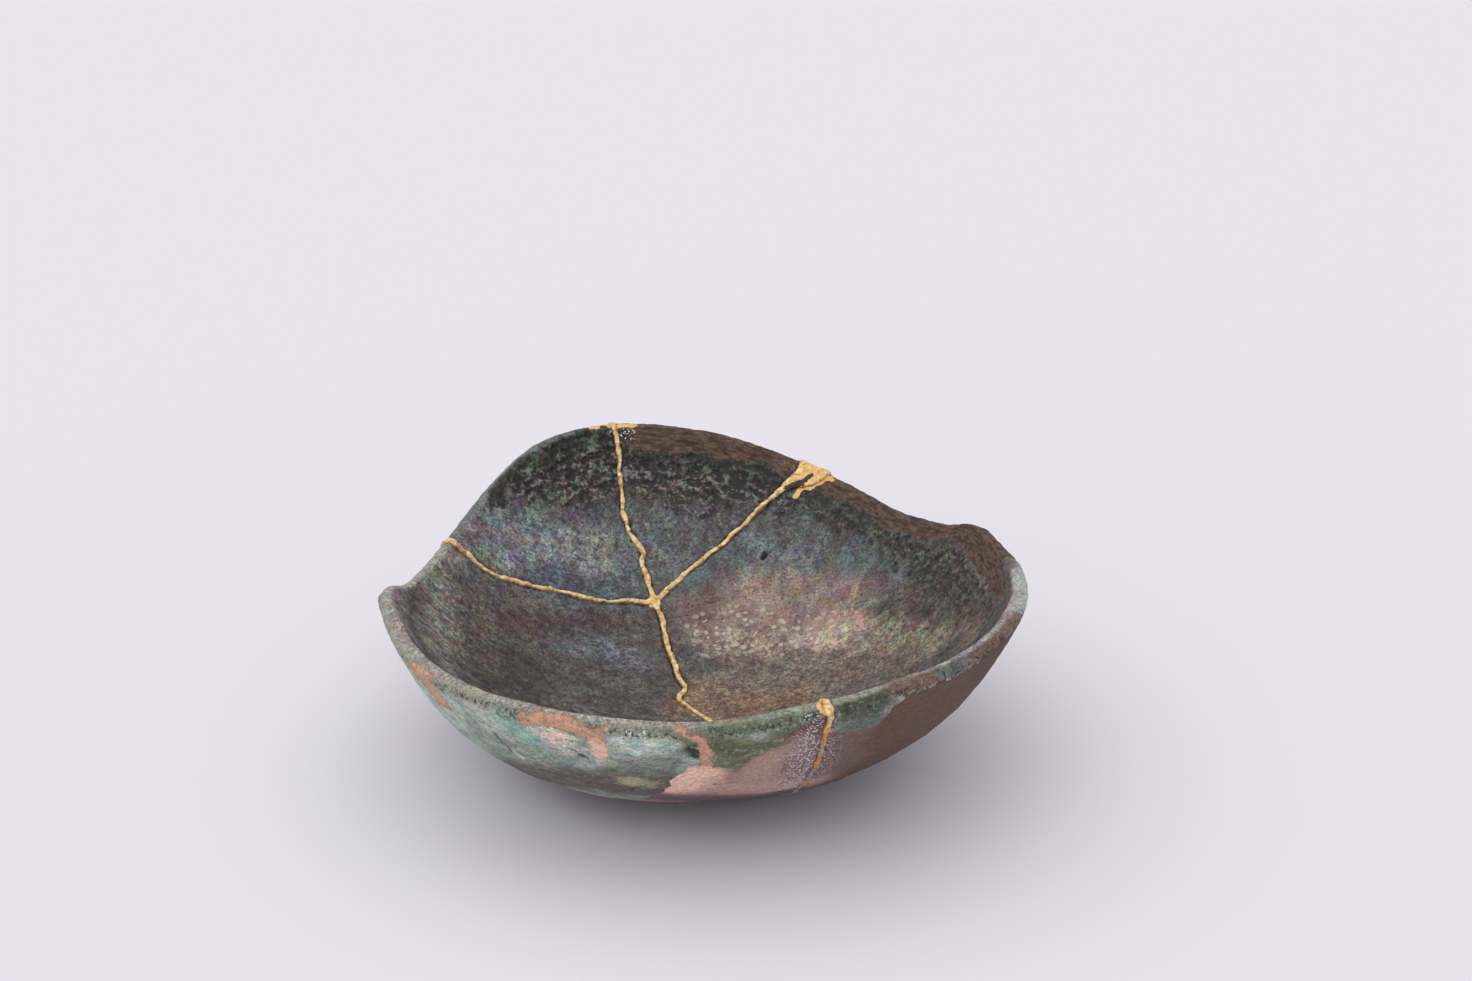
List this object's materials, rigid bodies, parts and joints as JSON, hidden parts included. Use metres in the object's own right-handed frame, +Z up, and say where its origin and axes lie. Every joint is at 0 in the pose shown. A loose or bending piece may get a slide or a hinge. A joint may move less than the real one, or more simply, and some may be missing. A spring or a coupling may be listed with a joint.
{
  "type": "kintsugi bowl",
  "caption": "Wavy-rimmed stoneware bowl, broken and rejoined with raised gold lacquer seams that meet in a star; stands on a small flat foot.",
  "frame": {"origin": "centre of the flat foot, on the ground plane", "axes": "+Z up, -Y to the front (the low side of the rim with the outer seam), +X to the right seen from the front"},
  "size_m": [0.2014, 0.2092, 0.0723],
  "materials": {
    "glazed_stoneware": "satin",
    "gold_lacquer": "satin"
  },
  "bodies": {
    "root": {"shard_back_left": "glazed_stoneware", "shard_back": "glazed_stoneware", "shard_right": "glazed_stoneware", "shard_front_left": "glazed_stoneware", "gold_seam": "gold_lacquer"}
  },
  "joints": []
}
